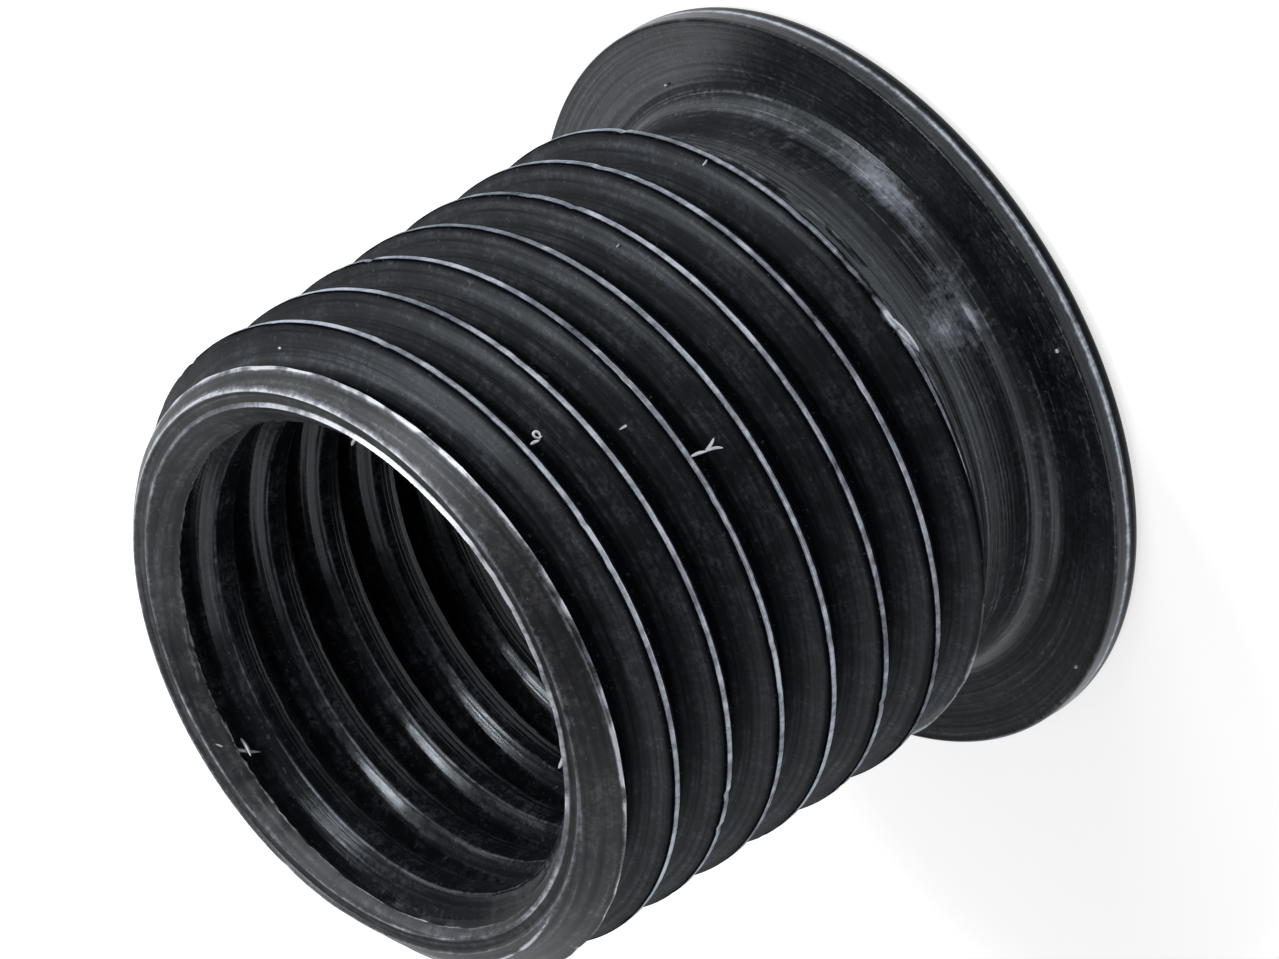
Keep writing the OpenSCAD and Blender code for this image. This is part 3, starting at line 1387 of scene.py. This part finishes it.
@dataclass(frozen=True)
class OxideFinish:
    """Black oxide on turned steel: worn bare, streaked along the cut, and darkened where shade is painted.

    The colours run from dark to light over the oxide and from rubbed to metal where it is bare. The
    relief is in metres.
    """

    name: str
    dark: Colour = (0.0045, 0.005, 0.007, 1.0)
    light: Colour = (0.040, 0.044, 0.057, 1.0)
    rubbed: Colour = (0.18, 0.195, 0.23, 1.0)
    metal: Colour = (0.54, 0.58, 0.65, 1.0)
    dust: Colour = (0.14, 0.15, 0.17, 1.0)
    sheen: Colour = (0.84, 0.92, 1.0, 1.0)
    sheen_least: float = 0.05
    sheen_more: float = 0.9
    lines: float = 24.0
    streak: float = 0.2
    ragged: float = 0.55
    fleck: float = 0.4
    rough: float = 0.46
    rough_swing: float = 0.24
    metal_rough: float = 0.42
    metal_share: float = 0.6
    ior: float = 1.65
    grain: float = 0.6
    relief: float = 0.000006
    strength: float = 0.45

    def material(self) -> bpy.types.Material:
        """Build the finish.

        Returns:
            The material.
        """
        material = bpy.data.materials.new(self.name)
        material.use_nodes = True
        pen = NodePen(material.node_tree)
        shader = material.node_tree.nodes["Principled BSDF"].inputs
        pen.feed(shader["IOR"], self.ior)
        pen.feed(shader["Specular Tint"], self.sheen)
        mottle = pen.group(SurfaceEffects.mottle())
        across = pen.attribute("across")
        marks = pen.group(SurfaceEffects.tool_marks(), Across=across, Lines=self.lines)["Height"]
        scratch = pen.math("MULTIPLY", pen.ramp(marks, low=0.56, high=0.74), self.streak)
        bare = pen.math("ADD", pen.attribute("bare"), scratch)
        wear = pen.group(SurfaceEffects.edge_wear(), Bare=bare, Ragged=self.ragged)
        # Painted shade from the mesh darkens the oxide towards its dark colour and takes away its sheen
        bright = pen.math("SUBTRACT", 1.0, pen.attribute("dull"), clamp=True)
        cloudy = pen.math("MULTIPLY", mottle["Cloud"], pen.ramp(marks, low=0.25, high=0.65))
        gritty = pen.math("MULTIPLY", cloudy, pen.ramp(mottle["Grain"], low=0.38, high=0.62))
        oxide = pen.tint(pen.math("MULTIPLY", gritty, bright), self.dark, self.light)
        dusty = pen.tint(pen.math("MULTIPLY", mottle["Fleck"], self.fleck), oxide, self.dust)
        steel = pen.tint(wear["Core"], self.rubbed, self.metal)
        pen.feed(shader["Base Color"], pen.tint(wear["Mask"], dusty, steel))
        pen.feed(shader["Metallic"], pen.math("MULTIPLY", wear["Mask"], self.metal_share))
        sheen = pen.math("MULTIPLY_ADD", marks, self.sheen_more, self.sheen_least)
        pen.feed(shader["Specular IOR Level"], pen.math("MULTIPLY", bright, sheen))
        smoothest = self.rough - self.rough_swing / 2.0
        grainy = pen.math("MULTIPLY_ADD", mottle["Grain"], self.rough_swing, smoothest)
        worn = pen.math("MULTIPLY", wear["Mask"], self.metal_rough - self.rough)
        pen.feed(shader["Roughness"], pen.math("ADD", grainy, worn, clamp=True))
        bump = pen.add("ShaderNodeBump")
        pen.feed(bump.inputs["Strength"], self.strength)
        pen.feed(bump.inputs["Distance"], self.relief)
        pen.feed(bump.inputs["Height"], pen.math("MULTIPLY_ADD", mottle["Grain"], self.grain, marks))
        pen.feed(shader["Normal"], bump.outputs["Normal"])
        return material


FINISHES: dict[Finish, OxideFinish] = {
    Finish.FLANKS: OxideFinish(
        "flank_oxide", light=(0.084, 0.093, 0.120, 1.0), dust=(0.15, 0.145, 0.15, 1.0),
        ragged=0.7, rough=0.50,
    ),
    Finish.TURNED: OxideFinish(
        "turned_oxide", light=(0.042, 0.046, 0.058, 1.0), lines=16.0, streak=0.36, ragged=1.1, rough=0.30,
        grain=0.4, relief=0.000010, strength=0.8,
    ),
    Finish.BORE: OxideFinish(
        "bore_oxide", dark=(0.008, 0.009, 0.012, 1.0), light=(0.070, 0.077, 0.095, 1.0),
        lines=15.0, streak=0.10, rough=0.23, ior=1.42, grain=0.10, relief=0.000018, strength=1.0,
    ),
    Finish.CUT_END: OxideFinish(
        "browned_cut", dark=(0.011, 0.0112, 0.0125, 1.0), light=(0.090, 0.090, 0.100, 1.0),
        rubbed=(0.21, 0.222, 0.25, 1.0), metal=(0.74, 0.77, 0.83, 1.0), sheen=(0.90, 0.94, 1.0, 1.0),
        lines=12.0, streak=0.40, ragged=0.9, rough=0.42, strength=0.6,
    ),
}
SLIVER = OxideFinish(
    "sliver", rubbed=(0.40, 0.42, 0.46, 1.0), metal=(0.78, 0.81, 0.86, 1.0), ragged=0.5, rough=0.4,
)


@dataclass(frozen=True)
class StudioLight:
    """A square soft light that faces the sleeve's middle, with its sizes in metres."""

    name: str
    towards: tuple[float, float, float]
    distance: float
    size: float
    radiance: float
    aim: tuple[float, float, float] = (0.0, 0.0, 0.006)

    def place(self) -> None:
        """Set the light, its power being radiance times pi times area."""
        lamp = bpy.data.lights.new(self.name, "AREA")
        lamp.shape = "SQUARE"
        lamp.size = self.size
        lamp.energy = self.radiance * math.pi * self.size ** 2
        holder = bpy.data.objects.new(self.name, lamp)
        away = Vector(self.towards).normalized()
        holder.location = Vector(self.aim) + away * self.distance
        holder.visible_camera = False
        holder.rotation_mode = "QUATERNION"
        holder.rotation_quaternion = away.to_track_quat("Z", "Y")
        bpy.context.scene.collection.objects.link(holder)


@dataclass(frozen=True)
class Studio:
    """Pale floor, soft lights and a world that is white at the horizon and darker overhead.

    Sizes are in metres. The sky is white up to horizon_top and dark from zenith_foot, both as the height
    of a direction's tip.
    """

    floor_size: float = 1.2
    floor_points: int = 9
    floor_colour: Colour = (0.62, 0.62, 0.62, 1.0)
    fibre_colour: Colour = (0.6014, 0.6014, 0.6014, 1.0)
    fibre_scale: float = 3.0
    floor_rough: float = 0.9
    floor_sheen: float = 0.1
    floor_glow: float = 0.70
    horizon: float = 0.95
    horizon_top: float = 0.05
    zenith: float = 0.15
    zenith_foot: float = 0.5
    lights: tuple[StudioLight, ...] = (
        StudioLight("key", (0.446, -0.021, 0.895), 0.0856, 0.012, 46.0),
        StudioLight("left", (-0.50, 0.17, 0.85), 0.090, 0.056, 1.5),
        StudioLight("back", (0.142, 0.874, 0.464), 0.0435, 0.011, 1.8),
        StudioLight("side", (0.62, -0.45, 0.64), 0.090, 0.036, 4.5),
        StudioLight("edge", (0.80, 0.22, 0.46), 0.090, 0.036, 1.8),
    )

    def build(self) -> None:
        """Set up the floor, the lights and the world."""
        self.floor()
        self.world()
        for light in self.lights:
            light.place()

    def floor(self) -> None:
        """A level square grid of pale paper under the flange, kept out of the part's own pieces."""
        half = self.floor_size / 2.0
        line = np.linspace(-half, half, self.floor_points)
        x, y = np.meshgrid(line, line, indexing="ij")
        points = np.stack([x, y, 0.0 * x], axis=-1).reshape(-1, 3)
        faces = grid_triangles(self.floor_points, self.floor_points)[:, ::-1]
        mesh = smooth_from(faces, points, "floor")
        mesh.materials.append(self.floor_material())
        piece = bpy.data.objects.new("floor", mesh)
        bpy.context.scene.collection.objects.link(piece)

    def floor_material(self) -> bpy.types.Material:
        """Matt pale paper that glows only to rays that show it, so that it stays bright in the picture.

        Returns:
            The material.
        """
        material = bpy.data.materials.new("studio_paper")
        material.use_nodes = True
        pen = NodePen(material.node_tree)
        shader = material.node_tree.nodes["Principled BSDF"].inputs
        pen.feed(shader["Roughness"], self.floor_rough)
        pen.feed(shader["Specular IOR Level"], self.floor_sheen)
        fibre = pen.noise(pen.millimetres(), self.fibre_scale)
        pen.feed(shader["Base Color"], pen.tint(fibre, self.fibre_colour, self.floor_colour))
        path = pen.add("ShaderNodeLightPath").outputs
        seen = pen.math("ADD", path["Is Camera Ray"], path["Is Glossy Ray"])
        seen = pen.math("ADD", seen, path["Is Transmission Ray"], clamp=True)
        pen.feed(shader["Emission Color"], WHITE)
        pen.feed(shader["Emission Strength"], pen.math("MULTIPLY", seen, self.floor_glow))
        return material

    def world(self) -> None:
        """White from below the horizon to a little above it, and darker towards the zenith."""
        world = bpy.data.worlds.new("studio_world")
        world.use_nodes = True
        pen = NodePen(world.node_tree)
        background = world.node_tree.nodes["Background"].inputs
        split = pen.add("ShaderNodeSeparateXYZ")
        pen.feed(split.inputs[0], pen.add("ShaderNodeTexCoord").outputs["Generated"])
        height = pen.ramp(split.outputs[2], self.horizon_top, self.zenith_foot)
        pen.feed(background["Color"], WHITE)
        strength = pen.math("MULTIPLY_ADD", height, self.zenith - self.horizon, self.horizon)
        pen.feed(background["Strength"], strength)
        bpy.context.scene.world = world


@dataclass(frozen=True)
class PhotoCamera:
    """Long-lens camera at the photograph's angle, rolled as the photograph is.

    Angles are in degrees and lengths in millimetres. The frame's centre lies centre_right and centre_up
    of the flange's centre, and depth in front of it.
    """

    elevation: float = 34.52
    roll: float = -121.68
    frame_width: float = 21.56
    centre_right: float = -3.631
    centre_up: float = -1.933
    depth: float = 3.4
    lens: float = 1000.0
    sensor: float = 36.0

    def place(self) -> None:
        """Set the camera so that the frame is frame_width millimetres wide through the sleeve's middle."""
        lift = math.radians(self.elevation)
        turn = math.radians(self.roll)
        back = Vector((0.0, -math.cos(lift), math.sin(lift)))
        level_right = Vector((1.0, 0.0, 0.0))
        level_up = Vector((0.0, math.sin(lift), math.cos(lift)))
        right = level_right * math.cos(turn) + level_up * math.sin(turn)
        up = level_up * math.cos(turn) - level_right * math.sin(turn)
        distance = self.frame_width * self.lens / self.sensor + self.depth
        place = (right * self.centre_right + up * self.centre_up + back * distance) * MM
        data = bpy.data.cameras.new("photo_camera")
        data.lens = self.lens
        data.sensor_width = self.sensor
        data.clip_start = 0.01
        data.clip_end = 10.0
        camera = bpy.data.objects.new("photo_camera", data)
        axes = Matrix((right, up, back)).transposed().to_4x4()
        camera.matrix_world = Matrix.Translation(place) @ axes
        bpy.context.scene.collection.objects.link(camera)
        bpy.context.scene.camera = camera


def main() -> None:
    """Build the camera, the studio, the sleeve and the burrs, and log each piece's triangles."""
    logging.basicConfig(level=logging.INFO, format="%(message)s")
    bpy.context.scene.view_settings.view_transform = "Standard"
    PhotoCamera().place()
    Studio().build()
    sleeve = ThreadedSleeve(InsertSizes.from_frame()).build()
    burrs = BurrSet(BURRS).build()
    for piece in (sleeve, burrs):
        LOG.info("%s: %d triangles", piece.name, len(piece.data.polygons))


if __name__ == "__main__":
    main()
